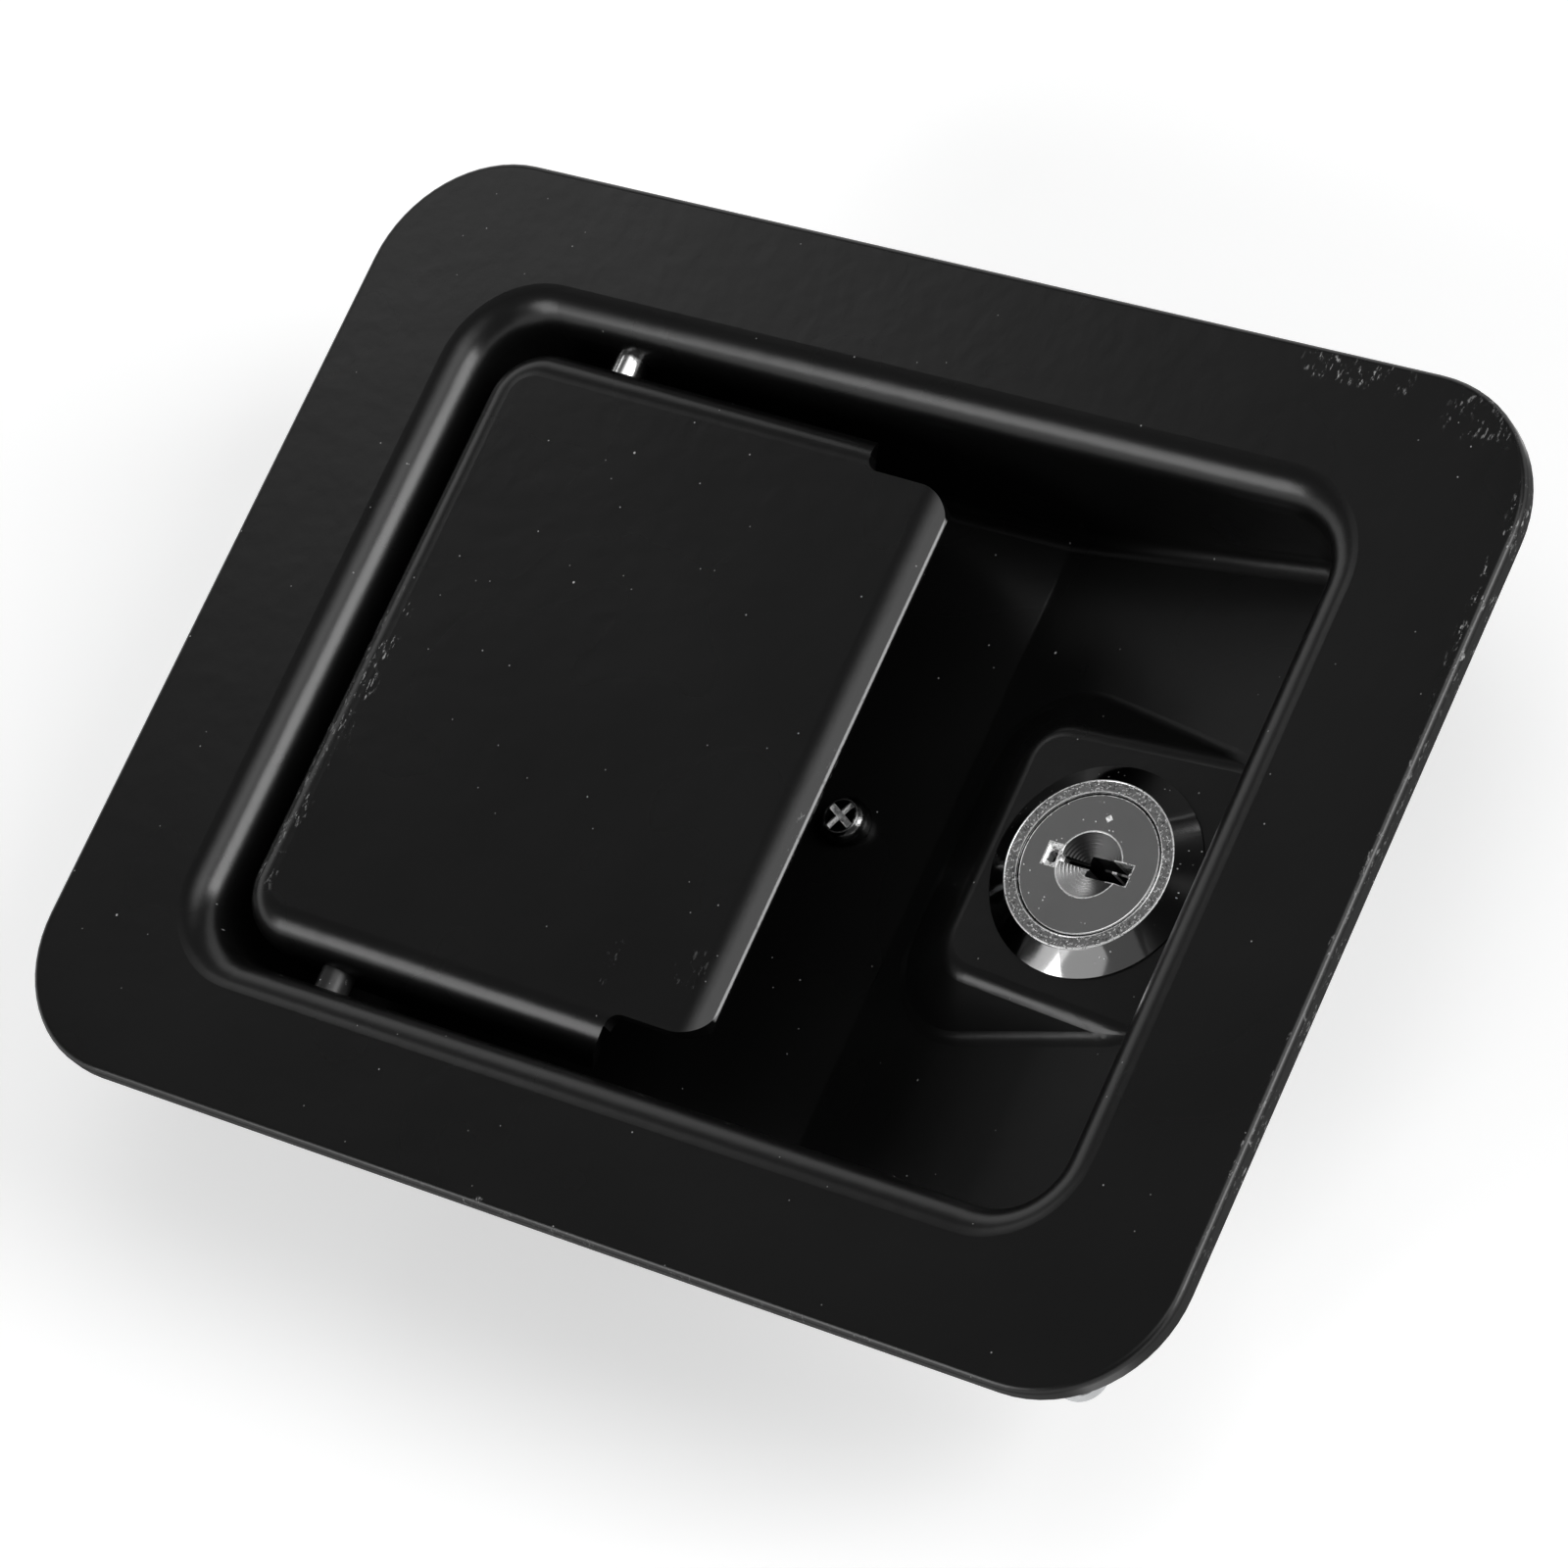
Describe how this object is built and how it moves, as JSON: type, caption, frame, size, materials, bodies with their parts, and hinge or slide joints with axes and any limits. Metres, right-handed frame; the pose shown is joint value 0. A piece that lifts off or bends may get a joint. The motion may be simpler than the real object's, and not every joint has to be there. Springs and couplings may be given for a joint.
{
  "type": "paddle latch",
  "caption": "Recessed paddle handle latch: pressed rectangular pan with a lifting paddle, a keyed cam lock on a raised seat, weld studs and a sprung slanted bolt behind.",
  "frame": {"origin": "centre of the four mounting studs on the back face of the flange, where it meets the door panel", "axes": "+Z out of the front of the door, +X from the hinge pin towards the lock, bolt leaves towards -X"},
  "size_m": [0.1518, 0.108, 0.0389],
  "materials": {
    "black_coat": "satin black powder coat with a faint orange peel",
    "black_coat_paddle": "satin black powder coat, smoother than the pan",
    "plated_steel": "clear zinc plating",
    "bright_steel": "bright turned steel",
    "screw_steel": "bright zinc plated, dulled",
    "spring_steel": "plain spring wire",
    "cast_zinc": "tumbled zinc casting",
    "chrome_barrel": "polished chrome plate",
    "chrome_plug": "chrome plate with turning rings in the dish",
    "brass_wafer": "stamped brass"
  },
  "bodies": {
    "case": {"pan": "black_coat", "mounting_studs": "plated_steel", "hinge_pin": "bright_steel", "pin_clip": "plated_steel", "slide_housing": "plated_steel", "housing_rivets": "bright_steel", "guide_screw": "screw_steel", "guide_bush": "plated_steel", "guide_washer": "plated_steel", "guide_nut": "plated_steel", "lock_barrel": "chrome_barrel", "lock_nut": "plated_steel", "bolt_spring": "spring_steel"},
    "paddle": {"paddle": "black_coat_paddle", "paddle_lever": "plated_steel"},
    "bolt": {"latch_bolt": "cast_zinc", "slide_plate": "plated_steel", "bolt_rivets": "bright_steel"},
    "lock_plug": {"lock_plug": "chrome_plug", "lock_wafers": "brass_wafer", "lock_cam": "plated_steel", "cam_washer": "plated_steel", "cam_screw": "bright_steel"}
  },
  "joints": [
    {"name": "paddle_hinge", "type": "hinge", "parent": "case", "child": "paddle", "pos_m": [-0.037, 0, -0.0041], "axis": [0, -1, 0], "range_deg": [0, 28], "stiffness_Nm_per_rad": 0.37, "springref_deg": -23.03},
    {"name": "bolt_slide", "type": "slide", "parent": "case", "child": "bolt", "axis": [1, 0, 0], "range_m": [0, 0.01217], "deforming": ["bolt_spring"]},
    {"name": "lock_turn", "type": "hinge", "parent": "case", "child": "lock_plug", "pos_m": [0.03535, 0, 0], "axis": [0, 0, 1], "range_deg": [0, 80]}
  ],
  "couplings": [
    {"joint": "bolt_slide", "follows": "paddle_hinge", "m_per_rad": 0.024855}
  ]
}
